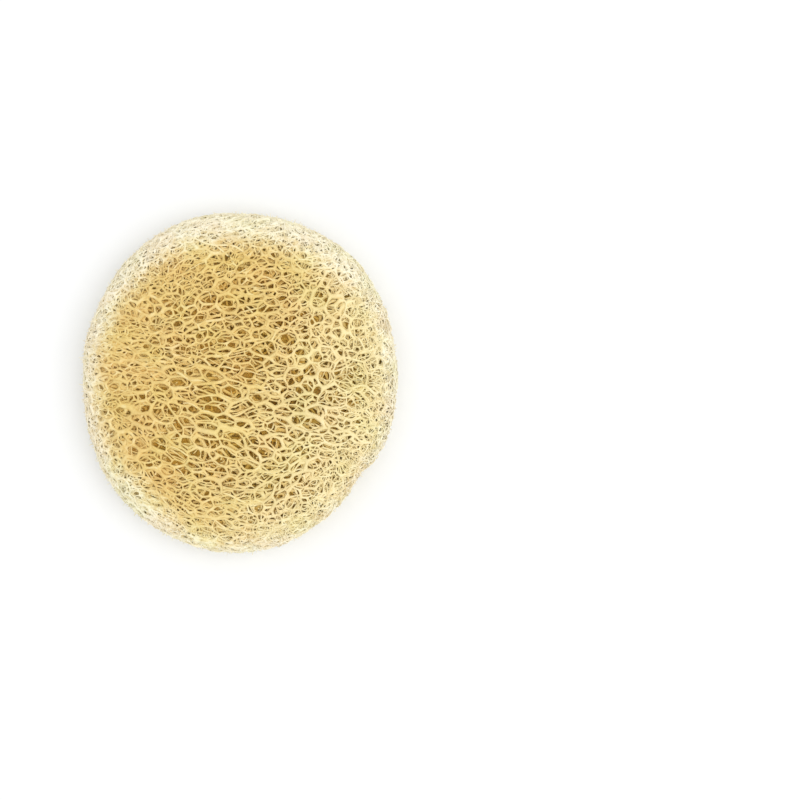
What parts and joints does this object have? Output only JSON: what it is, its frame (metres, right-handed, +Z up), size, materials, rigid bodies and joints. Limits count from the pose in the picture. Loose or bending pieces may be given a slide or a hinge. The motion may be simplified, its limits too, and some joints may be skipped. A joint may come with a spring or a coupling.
{
  "type": "natural loofah sponge",
  "caption": "Round, flattened natural loofah sponge: a pad of dried, straw-coloured plant fibres fused into a net, lying flat on its back face.",
  "frame": {"origin": "on the surface the pad rests on, under the middle of its bounding box", "axes": "+Z up through the thickness of the pad, +Y along the longer way across it, +X along the grain of the fibres"},
  "size_m": [0.1152, 0.1242, 0.0263],
  "materials": {
    "loofah_fibre": "matt dried plant fibre, straw gold on the faces and pale cream where the net is dense at the rim"
  },
  "bodies": {
    "root": {"loofah_sponge": "loofah_fibre"}
  },
  "joints": []
}
